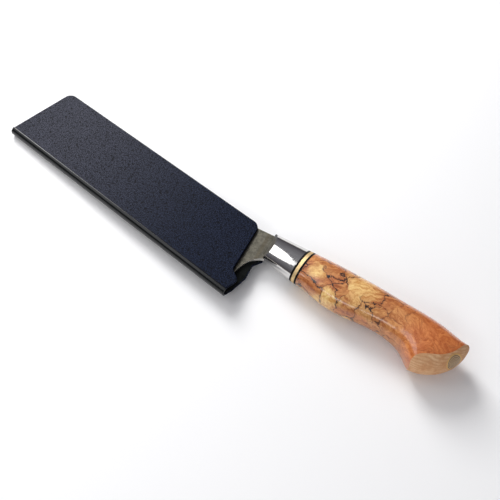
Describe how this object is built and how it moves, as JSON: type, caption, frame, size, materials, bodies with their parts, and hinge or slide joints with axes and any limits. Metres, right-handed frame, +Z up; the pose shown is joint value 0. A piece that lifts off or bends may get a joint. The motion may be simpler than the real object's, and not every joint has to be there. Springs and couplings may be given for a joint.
{
  "type": "kitchen knife with edge guard",
  "caption": "Cook's knife with a curved wood handle, polished ferrule and spacers, its blade closed in a felt-lined folding edge guard that slides off.",
  "frame": {"origin": "middle of the bounding box's base: the knife lies on its flank on a table, touching it with the guard's tip end and with the swell of the butt", "axes": "+X along the knife towards the butt of the handle, +Y from the cutting edge towards the spine, +Z up, out of the upper flank; the knife's mid-plane rises 1.8 degrees towards the butt"},
  "size_m": [0.3572, 0.0734, 0.0269],
  "materials": {
    "blade_steel": "satin, with fine grinding marks",
    "polished_steel": "mirror polished",
    "black_spacer": "gloss",
    "gold_spacer": "satin",
    "spalted_wood": "high gloss, stabilised, with dark zone lines",
    "epoxy": "clear amber",
    "inlay_brass": "satin",
    "inlay_core": "gloss",
    "guard_plastic": "fine pebble grain",
    "fold_plastic": "semi gloss",
    "felt": "short felt pile"
  },
  "bodies": {
    "knife": {"blade": "blade_steel", "ferrule": "polished_steel", "spacer_black_front": "black_spacer", "spacer_gold": "gold_spacer", "spacer_black_rear": "black_spacer", "handle_block": "spalted_wood", "tang_epoxy": "epoxy", "butt_inlay_ring": "inlay_brass", "butt_inlay_core": "inlay_core"},
    "guard_back": {"guard_back_panel": "guard_plastic", "guard_fold_strip": "fold_plastic", "felt_back": "felt"},
    "guard_front": {"guard_front_panel": "guard_plastic", "felt_front": "felt"}
  },
  "joints": [
    {"name": "guard_slide", "type": "slide", "parent": "knife", "child": "guard_back", "axis": [-0.9996, 0, -0.0296], "range_m": [0, 0.206]},
    {"name": "guard_flex", "type": "hinge", "parent": "guard_back", "child": "guard_front", "pos_m": [-0.07234, -0.03414, 0.01015], "axis": [0.9996, 0, 0.0296], "range_deg": [0, 12], "stiffness_Nm_per_rad": 0.03, "springref_deg": -8.59}
  ]
}
